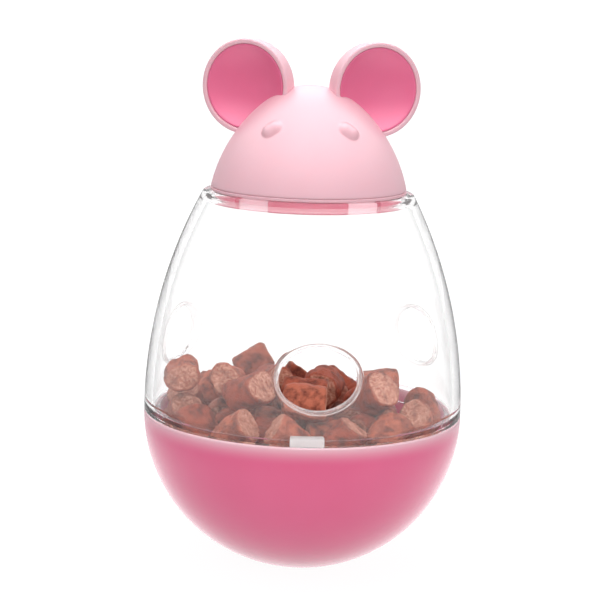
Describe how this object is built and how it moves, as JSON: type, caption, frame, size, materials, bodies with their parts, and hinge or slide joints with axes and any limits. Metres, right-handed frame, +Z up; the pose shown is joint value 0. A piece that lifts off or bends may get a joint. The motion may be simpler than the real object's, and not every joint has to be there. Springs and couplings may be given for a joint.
{
  "type": "treat dispensing mouse toy",
  "caption": "Egg-shaped rocking pet toy: a weighted bowl, a clear shell with oval treat ports and a lift-off mouse head that plugs the filling neck.",
  "frame": {"origin": "centre of the small flat foot under the bowl", "axes": "+Z up through the head, -Y the way the face looks, +X to the right of someone who looks at the face"},
  "size_m": [0.072, 0.0724, 0.119],
  "materials": {
    "deep_pink_plastic": "satin moulded",
    "pale_pink_plastic": "satin moulded",
    "clear_plastic": "clear polished",
    "cast_weight": "as cast",
    "treat": "rough baked"
  },
  "bodies": {
    "bowl": {"bowl": "deep_pink_plastic", "counterweight": "cast_weight", "false_floor": "deep_pink_plastic", "treats": "treat"},
    "shell": {"clear_shell": "clear_plastic"},
    "plug": {"plug_ring": "deep_pink_plastic"},
    "head": {"head_dome": "pale_pink_plastic", "ear_left": "pale_pink_plastic", "ear_right": "pale_pink_plastic", "ear_liner_left": "deep_pink_plastic", "ear_liner_right": "deep_pink_plastic"}
  },
  "joints": [
    {"name": "shell_lift", "type": "slide", "parent": "bowl", "child": "shell", "axis": [0, 0, 1], "range_m": [0, 0.045]},
    {"name": "head_lift", "type": "slide", "parent": "shell", "child": "plug", "axis": [0, 0, 1], "range_m": [0, 0.03]},
    {"name": "head_turn", "type": "hinge", "parent": "plug", "child": "head", "pos_m": [0, 0, 0.0863], "axis": [0, 0, 1], "continuous": true}
  ]
}
